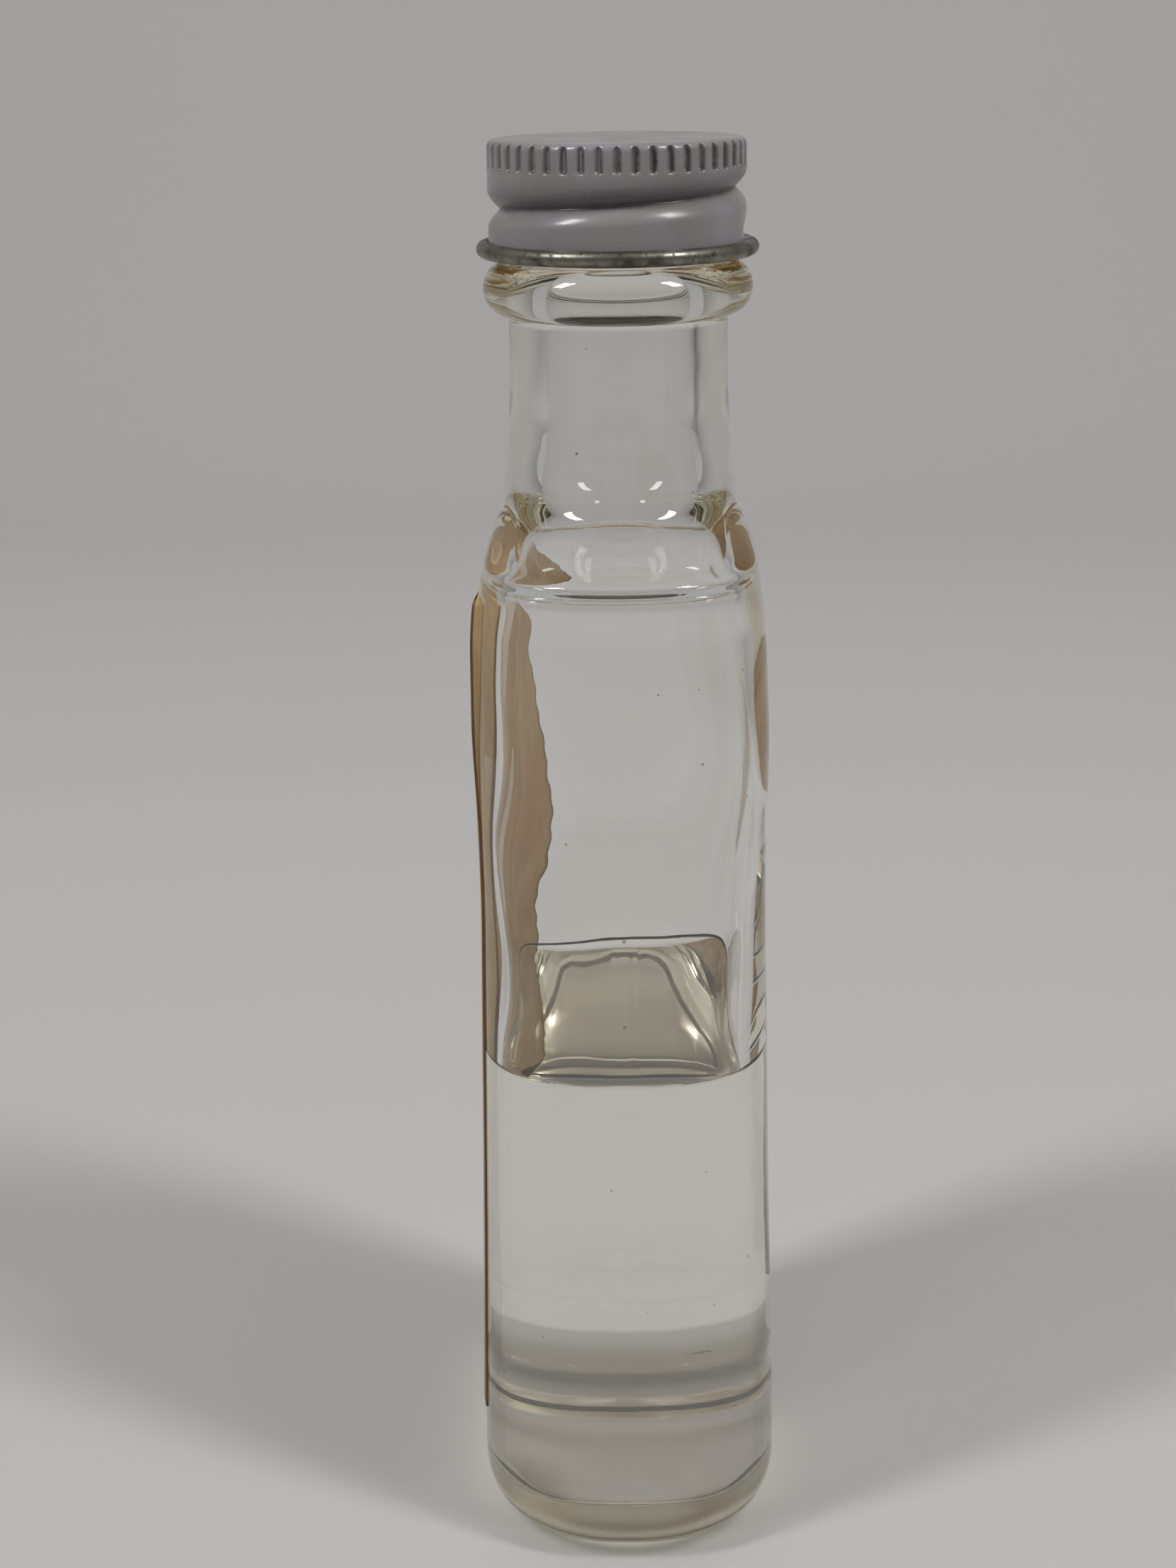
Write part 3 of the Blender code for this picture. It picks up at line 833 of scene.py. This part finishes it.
def label_skin(reach):
    """The label at one distance from the glass: the bottle's own rings on its left side, cut
    between the label's two edges, with equal steps along the ring, and pushed out along their
    normals."""
    angle = np.linspace(1.5 * math.pi, 0.5 * math.pi, LABEL_RING_POINTS)
    ring = flat_rings(label_height, *label_sizes.T, angle, OUTSIDE_POWER)
    run = np.cumsum(np.linalg.norm(np.diff(ring, axis=1, prepend=ring[:, :1]), axis=-1), axis=1)
    wear = sum(np.sin(label_height / (size * MM) + size) for size in LABEL_WEAR_WAVES)
    wear = wear / len(LABEL_WEAR_WAVES)
    far = smooth_through(LABEL_FAR_EDGE, label_height)[:, 0] + LABEL_WEAR * wear
    front = LABEL_FRONT + LABEL_CUT_WEAR * wear[::-1]
    turn = np.argmin(ring[..., 0], axis=1)
    rows = []
    for row, along, start, stop, middle in zip(ring, run, front, far, turn):
        begin = np.interp(start, row[:, 1], along)
        end = np.interp(stop, row[middle:, 0], along[middle:])
        at = np.linspace(begin, end, LABEL_STEPS)
        rows.append([np.interp(at, along, row[:, 0]), np.interp(at, along, row[:, 1])])
    x, y = np.moveaxis(np.array(rows), 1, 0)
    slope_x, slope_y = np.gradient(x, axis=1), np.gradient(y, axis=1)
    size = np.hypot(slope_x, slope_y)
    loose = ease(1 - (y - front[:, None]) / LABEL_LIFT_WIDTH)
    loose = loose * ease((label_height - LABEL_LIFT_FROM) / (LABEL_TOP - LABEL_LIFT_FROM))[:, None]
    away = reach + LABEL_LIFT * loose
    x, y = x - away * slope_y / size, y + away * slope_x / size
    return np.stack(np.broadcast_arrays(x, y, label_height[:, None]), axis=-1)


back = label_skin(-LABEL_SUNK)
front = label_skin(LABEL_THICKNESS)
label_grid = np.concatenate([back, front[:, ::-1]], axis=1)
glued = np.concatenate([np.ones(LABEL_STEPS), np.zeros(LABEL_STEPS)])
edge = np.zeros((len(label_height), 2 * LABEL_STEPS))
edge[:, [0, 1, -1, -2]] = 1
edge[:, LABEL_STEPS - 1 : LABEL_STEPS + 1] = 1

# Wood-pulp paper browned by age: matt, with fibres and stains, dark at its cut edges, and warmer
# in tone on its glued back than on its front
FIBRE_WIDTH = 0.7 * MM
FIBRE_STRETCH = (1, 1, 0.25)
FIBRE_HEIGHT = 0.05 * MM
FIBRE_COLOUR = "b08a5c"
STAIN_SIZE = 11 * MM
BACK_CLEAN_COLOUR = "dcc39a"
BACK_STAIN_COLOUR = "c8a678"
FRONT_CLEAN_COLOUR = "cdbb99"
FRONT_STAIN_COLOUR = "b89a70"
CUT_EDGE_COLOUR = "6b4f38"
PAPER_ROUGHNESS = 0.88

aged_paper, tree, output = new_material("aged_paper")
place = add(tree, "ShaderNodeTexCoord").outputs["Object"]
stretch = add(
    tree, "ShaderNodeMapping", values={"Scale": FIBRE_STRETCH}, links={"Vector": place}
)
fibres = add(
    tree,
    "ShaderNodeTexNoise",
    values={"Scale": 1 / FIBRE_WIDTH, "Detail": 6, "Roughness": 0.65},
    links={"Vector": stretch.outputs[0]},
)
stains = add(
    tree,
    "ShaderNodeTexNoise",
    values={"Scale": 1 / STAIN_SIZE, "Detail": 4, "Roughness": 0.6, "Distortion": 0.8},
    links={"Vector": place},
)
stain_share = add(
    tree,
    "ShaderNodeMapRange",
    values={"From Min": 0.36, "From Max": 0.66},
    links={"Value": stains.outputs[0]},
)
back_tone = add(
    tree,
    "ShaderNodeMix",
    {"data_type": "RGBA"},
    {6: linear(BACK_CLEAN_COLOUR), 7: linear(BACK_STAIN_COLOUR)},
    {0: stain_share.outputs[0]},
)
front_tone = add(
    tree,
    "ShaderNodeMix",
    {"data_type": "RGBA"},
    {6: linear(FRONT_CLEAN_COLOUR), 7: linear(FRONT_STAIN_COLOUR)},
    {0: stain_share.outputs[0]},
)
side_of_sheet = add(tree, "ShaderNodeAttribute", {"attribute_name": "glued"})
tone = add(
    tree,
    "ShaderNodeMix",
    {"data_type": "RGBA"},
    links={0: side_of_sheet.outputs["Fac"], 6: front_tone.outputs[2], 7: back_tone.outputs[2]},
)
fibre_share = add(
    tree,
    "ShaderNodeMapRange",
    values={"From Min": 0.3, "From Max": 0.7, "To Min": 0.0, "To Max": 0.35},
    links={"Value": fibres.outputs[0]},
)
paper_tone = add(
    tree,
    "ShaderNodeMix",
    {"data_type": "RGBA"},
    {7: linear(FIBRE_COLOUR)},
    {0: fibre_share.outputs[0], 6: tone.outputs[2]},
)
cut_edge = add(tree, "ShaderNodeAttribute", {"attribute_name": "edge"})
worn_tone = add(
    tree,
    "ShaderNodeMix",
    {"data_type": "RGBA"},
    {7: linear(CUT_EDGE_COLOUR)},
    {0: cut_edge.outputs["Fac"], 6: paper_tone.outputs[2]},
)
paper_bump = add(
    tree,
    "ShaderNodeBump",
    values={"Strength": 0.35, "Distance": FIBRE_HEIGHT},
    links={"Height": fibres.outputs[0]},
)
paper_shader = add(
    tree,
    "ShaderNodeBsdfPrincipled",
    values={"Roughness": PAPER_ROUGHNESS},
    links={"Base Color": worn_tone.outputs[2], "Normal": paper_bump.outputs[0]},
)
tree.links.new(paper_shader.outputs[0], output.inputs[0])
label = surface("paper_sheet", label_grid, aged_paper, marks={"glued": glued, "edge": edge})
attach(label, "bottle")
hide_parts("paper_label")

# The liner is a disc of grey-brown pulpboard, pressed from waste paper and held inside the cap:
# matt and grainy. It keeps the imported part's own solid.
PULP_GRAIN = 0.5 * MM
PULP_HEIGHT = 0.06 * MM
PULP_DARK_COLOUR = "8f7657"
PULP_PALE_COLOUR = "b7a285"
PULP_ROUGHNESS = 0.92

pulpboard, tree, output = new_material("pressed_pulpboard")
place = add(tree, "ShaderNodeTexCoord").outputs["Object"]
pulp = add(
    tree,
    "ShaderNodeTexNoise",
    values={"Scale": 1 / PULP_GRAIN, "Detail": 8, "Roughness": 0.7},
    links={"Vector": place},
)
pulp_tone = add(
    tree,
    "ShaderNodeMix",
    {"data_type": "RGBA"},
    {6: linear(PULP_DARK_COLOUR), 7: linear(PULP_PALE_COLOUR)},
    {0: pulp.outputs[0]},
)
pulp_bump = add(
    tree,
    "ShaderNodeBump",
    values={"Strength": 0.5, "Distance": PULP_HEIGHT},
    links={"Height": pulp.outputs[0]},
)
pulp_shader = add(
    tree,
    "ShaderNodeBsdfPrincipled",
    values={"Roughness": PULP_ROUGHNESS},
    links={"Base Color": pulp_tone.outputs[2], "Normal": pulp_bump.outputs[0]},
)
tree.links.new(pulp_shader.outputs[0], output.inputs[0])
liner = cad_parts["cap_liner"]
for finish in liner.material_slots:
    finish.material = pulpboard

# The cap is one drawn shell of tinplate, lacquered white: a fluted band under a flat top, a rolled
# screw groove, and an outward curl of bare steel at the hem.
CAP_RADIUS = 10.3 * MM
CAP_TOP = 118.1 * MM
CAP_SHEET = 0.25 * MM
CAP_CORNER = 0.6 * MM
CAP_HEM = 109.0 * MM
CAP_TOP_RINGS = 8
CAP_CORNER_RINGS = 7
CAP_OUTER_RINGS = 78
CAP_INNER_RINGS = 30
CURL_RADIUS = 0.63 * MM
FLUTE_COUNT = 46
FLUTE_SIDES = 16
FLUTE_RELIEF = 0.42 * MM
FLUTE_SHARPNESS = 3
FLUTE_ARCH = 0.5 * MM
FLUTE_TOP = 118.0 * MM
FLUTE_FOOT = 115.8 * MM
FLUTE_END = 0.3 * MM
FLUTE_UNEVENNESS = 0.3
GROOVE_DEPTH = 1.0 * MM
GROOVE_WIDTH = 3.0 * MM
GROOVE_START = 115.0 * MM
GROOVE_START_ANGLE = math.radians(80)
GROOVE_TURNS = 1.28
# How far above and below the crease the lacquer is darkened as painted shade, as shares of the
# groove's width
SHADE_ABOVE_SHARE = 0.9
SHADE_BELOW_SHARE = 0.06

# How much the lacquer is darkened along the slots' edges, in the slots, in the crease and above
# the hem: painted shade along the edges and in the crease, dirt above the hem, both in the slots
SLOT_EDGE_SHADE = 1.2
SLOT_DIRT_AND_SHADE = 0.12
CREASE_SHADE = 0.9
HEM_GRIME = 0.4
HEM_GRIME_HEIGHT = 1.0 * MM

cap_angle = np.linspace(0, 2 * math.pi, FLUTE_COUNT * FLUTE_SIDES + 1)[:-1]


def crease(heights):
    """The rolled groove's relief, 0 to 1: one minus a sine to each side, so it is a sharp crease
    between two rounded flanks. It runs round the cap as the glass thread does. Also how far the
    lacquer above the crease is darkened: the photo's flank is darker than this light makes it."""
    gone = ((GROOVE_START_ANGLE - cap_angle) / (2 * math.pi) % 1)[None, :]
    relief = np.zeros((len(heights), len(cap_angle)))
    flank_shade = np.zeros_like(relief)
    for lap in range(math.ceil(GROOVE_TURNS) + 1):
        turns = gone + lap
        off = (heights[:, None] - GROOVE_START + THREAD_PITCH * turns) / GROOVE_WIDTH
        dent = 1 - np.sin(np.pi * np.minimum(np.abs(off), 0.5))
        fade = ease(turns / FADE_TURNS) * ease((GROOVE_TURNS - turns) / FADE_TURNS)
        relief = np.maximum(relief, dent * fade)
        shade = ease(1 - off / SHADE_ABOVE_SHARE) * ease(1 + off / SHADE_BELOW_SHARE)
        flank_shade = np.maximum(flank_shade, shade * fade)
    return relief, flank_shade


def slots_round_cap(heights):
    """The slots' relief, 0 to 1, and how deep they are in metres: a cosine round the cap, raised
    to a power, so that the slots are narrow. Each ends in an arch at its top, and their depth
    varies slowly round the cap."""
    wave = np.cos(cap_angle * FLUTE_COUNT)
    arch = FLUTE_TOP - FLUTE_ARCH * (1 + wave) / 2
    above_foot = ease((heights - FLUTE_FOOT) / FLUTE_END)[:, None]
    below_top = ease((arch[None, :] - heights[:, None]) / FLUTE_END)
    slow = np.sin(cap_angle * 5 + 1) * np.sin(cap_angle * 3)
    slots = (((1 - wave) / 2) ** FLUTE_SHARPNESS)[None, :] * below_top * above_foot
    return slots, FLUTE_RELIEF * (1 + FLUTE_UNEVENNESS * slow)[None, :]


def cap_skin(inset, rings):
    """Rings of the cap's shell from the middle of its top to its hem, at one depth in the sheet: a
    disc, a quarter circle and a straight skirt, less the relief of the slots and of the groove.
    Also how dark each point is painted with dirt and painted shade, more at the right of each slot
    and on the left of the cap, as the camera sees them, and how far it is darkened above the crease
    as painted shade."""
    top = np.linspace(MIDDLE_SHARE, 1, CAP_TOP_RINGS)[:-1] * (CAP_RADIUS - CAP_CORNER)
    corner = np.linspace(0, math.pi / 2, CAP_CORNER_RINGS)
    skirt = np.linspace(CAP_TOP - CAP_CORNER, CAP_HEM + CURL_RADIUS, rings)[1:]
    heights = np.concatenate(
        [
            np.full(len(top), CAP_TOP - inset),
            CAP_TOP - CAP_CORNER + (CAP_CORNER - inset) * np.cos(corner),
            skirt,
        ]
    )
    radii = np.concatenate(
        [
            top,
            CAP_RADIUS - CAP_CORNER + (CAP_CORNER - inset) * np.sin(corner),
            np.full(len(skirt), CAP_RADIUS - inset),
        ]
    )
    groove, under = crease(heights)
    groove = np.where((heights < FLUTE_FOOT)[:, None], groove, 0)
    slots, depth = slots_round_cap(heights)
    radius = radii[:, None] - (GROOVE_DEPTH * groove + depth * slots)
    x, y = radius * np.cos(cap_angle), radius * np.sin(cap_angle)
    above_hem = (CAP_HEM + CURL_RADIUS + HEM_GRIME_HEIGHT - heights) / HEM_GRIME_HEIGHT
    right_of_slot = 0.6 - 0.4 * np.sin(cap_angle * FLUTE_COUNT)
    left_of_cap = 1.1 - 0.5 * np.cos(cap_angle - 0.3)
    rim_of_slot = 4 * slots * (1 - slots) * right_of_slot
    dirt_and_shade = (SLOT_EDGE_SHADE * rim_of_slot + SLOT_DIRT_AND_SHADE * slots) * left_of_cap
    dirt_and_shade = dirt_and_shade + CREASE_SHADE * groove**4 + HEM_GRIME * ease(above_hem)[:, None]
    grid = np.stack(np.broadcast_arrays(x, y, heights[:, None]), axis=-1)
    return grid, np.clip(dirt_and_shade, 0, 1), under


outer, outer_dirt_and_shade, outer_flank_shade = cap_skin(0, CAP_OUTER_RINGS)
inner, inner_dirt_and_shade, inner_flank_shade = cap_skin(CAP_SHEET, CAP_INNER_RINGS)
cap_grid = np.concatenate([inner, outer[::-1]])
dirt_and_shade = np.concatenate([inner_dirt_and_shade, outer_dirt_and_shade[::-1]])
flank_shade = np.concatenate([inner_flank_shade, outer_flank_shade[::-1]])

# White baking lacquer on tinplate, greyed by age and its gloss dulled: satin, with dirt and painted
# shade in every hollow, painted shade above the crease, pinholes that show the dark metal, and a
# faint yellowing
LACQUER_COLOUR = "89858a"
LACQUER_YELLOWED_COLOUR = "817b76"
FLANK_SHADE_COLOUR = "5e575a"
DIRT_AND_SHADE_COLOUR = "3b3934"
PINHOLE_COLOUR = "2e2620"
PINHOLE_SPACING = 1.1 * MM
HAZE_SIZE = 4 * MM
SMEAR_SIZE = 0.8 * MM
SMEAR_HEIGHT = 0.03 * MM
LACQUER_IOR = 1.5

white_lacquer, tree, output = new_material("white_lacquer")
place = add(tree, "ShaderNodeTexCoord").outputs["Object"]
haze = add(
    tree,
    "ShaderNodeTexNoise",
    values={"Scale": 1 / HAZE_SIZE, "Detail": 5, "Roughness": 0.6},
    links={"Vector": place},
)
haze_share = add(
    tree,
    "ShaderNodeMapRange",
    values={"From Min": 0.35, "From Max": 0.7},
    links={"Value": haze.outputs[0]},
)
lacquer_tone = add(
    tree,
    "ShaderNodeMix",
    {"data_type": "RGBA"},
    {6: linear(LACQUER_COLOUR), 7: linear(LACQUER_YELLOWED_COLOUR)},
    {0: haze_share.outputs[0]},
)
# Painted shade: the lacquer above the crease is mixed towards a darker colour
flank_shade_mark = add(tree, "ShaderNodeAttribute", {"attribute_name": "flank_shade"})
flank_shaded_tone = add(
    tree,
    "ShaderNodeMix",
    {"data_type": "RGBA"},
    {7: linear(FLANK_SHADE_COLOUR)},
    {0: flank_shade_mark.outputs["Fac"], 6: lacquer_tone.outputs[2]},
)
smears = add(
    tree,
    "ShaderNodeTexNoise",
    values={"Scale": 1 / SMEAR_SIZE, "Detail": 4, "Roughness": 0.7},
    links={"Vector": place},
)
# Dirt and painted shade: the slots, the crease and the skirt above the hem are mixed towards a dark
# colour
dirt_and_shade_mark = add(tree, "ShaderNodeAttribute", {"attribute_name": "dirt_and_shade"})
dirt_and_shade_sum = add(
    tree,
    "ShaderNodeMath",
    {"operation": "MULTIPLY"},
    links={0: dirt_and_shade_mark.outputs["Fac"], 1: smears.outputs[0]},
)
dirt_and_shade_share = add(
    tree,
    "ShaderNodeMapRange",
    values={"From Min": 0.06, "From Max": 0.6, "To Max": 0.9},
    links={"Value": dirt_and_shade_sum.outputs[0]},
)
dirt_and_shade_tone = add(
    tree,
    "ShaderNodeMix",
    {"data_type": "RGBA"},
    {7: linear(DIRT_AND_SHADE_COLOUR)},
    {0: dirt_and_shade_share.outputs[0], 6: flank_shaded_tone.outputs[2]},
)
pinholes = add(
    tree,
    "ShaderNodeTexVoronoi",
    values={"Scale": 1 / PINHOLE_SPACING},
    links={"Vector": place},
)
pinhole_size = add(tree, "ShaderNodeSeparateColor", links={0: pinholes.outputs["Color"]})
pinhole_reach = add(
    tree,
    "ShaderNodeMapRange",
    values={"From Min": 0.55, "From Max": 1.0, "To Min": 0.0, "To Max": 0.09},
    links={"Value": pinhole_size.outputs[0]},
)
pinhole_share = add(
    tree,
    "ShaderNodeMath",
    {"operation": "LESS_THAN"},
    links={0: pinholes.outputs["Distance"], 1: pinhole_reach.outputs[0]},
)
specked = add(
    tree,
    "ShaderNodeMix",
    {"data_type": "RGBA"},
    {7: linear(PINHOLE_COLOUR)},
    {0: pinhole_share.outputs[0], 6: dirt_and_shade_tone.outputs[2]},
)
lacquer_roughness = add(
    tree,
    "ShaderNodeMapRange",
    values={"From Min": 0.3, "From Max": 0.7, "To Min": 0.15, "To Max": 0.34},
    links={"Value": haze.outputs[0]},
)
lacquer_bump = add(
    tree,
    "ShaderNodeBump",
    values={"Strength": 0.25, "Distance": SMEAR_HEIGHT},
    links={"Height": smears.outputs[0]},
)
lacquer_shader = add(
    tree,
    "ShaderNodeBsdfPrincipled",
    values={"IOR": LACQUER_IOR},
    links={
        "Base Color": specked.outputs[2],
        "Roughness": lacquer_roughness.outputs[0],
        "Normal": lacquer_bump.outputs[0],
    },
)
tree.links.new(lacquer_shader.outputs[0], output.inputs[0])
cap = surface("cap_shell", cap_grid, white_lacquer, marks={"dirt_and_shade": dirt_and_shade, "flank_shade": flank_shade})
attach(cap, "cap")
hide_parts("screw_cap")

# The hem of the cap is rolled outwards into a tight curl, whose lacquer has worn off: bare steel,
# dark and spotted with age.
CURL_SIDES = 184
CURL_POINTS = 24

# A circle carried round the cap's axis
curl_angle = np.linspace(0, 2 * math.pi, CURL_SIDES + 1)[:-1]
curl_centre = CAP_RADIUS - CAP_SHEET + CURL_RADIUS
curl_turn = np.linspace(math.pi, -math.pi, CURL_POINTS + 1)[:-1]
curl_radius = curl_centre + CURL_RADIUS * np.cos(curl_turn)
curl_height = CAP_HEM + CURL_RADIUS + CURL_RADIUS * np.sin(curl_turn)
curl_grid = np.stack(
    np.broadcast_arrays(
        curl_radius[:, None] * np.cos(curl_angle),
        curl_radius[:, None] * np.sin(curl_angle),
        curl_height[:, None],
    ),
    axis=-1,
)

# Mild steel with an old brown-grey patina: metal, rather rough, with rust spots that aren't
STEEL_COLOUR = "8b877d"
PATINA_COLOUR = "4c483d"
PATINA_SIZE = 1.6 * MM
PATINA_HEIGHT = 0.04 * MM
RUST_COLOUR = "3a2a1d"
RUST_SIZE = 0.9 * MM
STEEL_ROUGHNESS = 0.3
PATINA_ROUGHNESS = 0.55

worn_steel, tree, output = new_material("worn_steel")
place = add(tree, "ShaderNodeTexCoord").outputs["Object"]
patina = add(
    tree,
    "ShaderNodeTexNoise",
    values={"Scale": 1 / PATINA_SIZE, "Detail": 6, "Roughness": 0.7},
    links={"Vector": place},
)
patina_share = add(
    tree,
    "ShaderNodeMapRange",
    values={"From Min": 0.38, "From Max": 0.66},
    links={"Value": patina.outputs[0]},
)
steel_tone = add(
    tree,
    "ShaderNodeMix",
    {"data_type": "RGBA"},
    {6: linear(STEEL_COLOUR), 7: linear(PATINA_COLOUR)},
    {0: patina_share.outputs[0]},
)
rust = add(
    tree,
    "ShaderNodeTexNoise",
    values={"Scale": 1 / RUST_SIZE, "Detail": 3, "Roughness": 0.6, "Distortion": 0.5},
    links={"Vector": place},
)
rust_share = add(
    tree,
    "ShaderNodeMapRange",
    values={"From Min": 0.64, "From Max": 0.7},
    links={"Value": rust.outputs[0]},
)
curl_tone = add(
    tree,
    "ShaderNodeMix",
    {"data_type": "RGBA"},
    {7: linear(RUST_COLOUR)},
    {0: rust_share.outputs[0], 6: steel_tone.outputs[2]},
)
bright = add(
    tree,
    "ShaderNodeMapRange",
    values={"To Min": 1.0, "To Max": 0.0},
    links={"Value": rust_share.outputs[0]},
)
steel_roughness = add(
    tree,
    "ShaderNodeMapRange",
    values={"To Min": STEEL_ROUGHNESS, "To Max": PATINA_ROUGHNESS},
    links={"Value": patina_share.outputs[0]},
)
steel_bump = add(
    tree,
    "ShaderNodeBump",
    values={"Strength": 0.4, "Distance": PATINA_HEIGHT},
    links={"Height": patina.outputs[0]},
)
steel_shader = add(
    tree,
    "ShaderNodeBsdfPrincipled",
    links={
        "Base Color": curl_tone.outputs[2],
        "Metallic": bright.outputs[0],
        "Roughness": steel_roughness.outputs[0],
        "Normal": steel_bump.outputs[0],
    },
)
tree.links.new(steel_shader.outputs[0], output.inputs[0])
curl = surface("hem_curl", curl_grid, worn_steel, loop=True)
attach(curl, "cap")
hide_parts("screw_cap")

bpy.context.scene.view_settings.view_transform = "Standard"
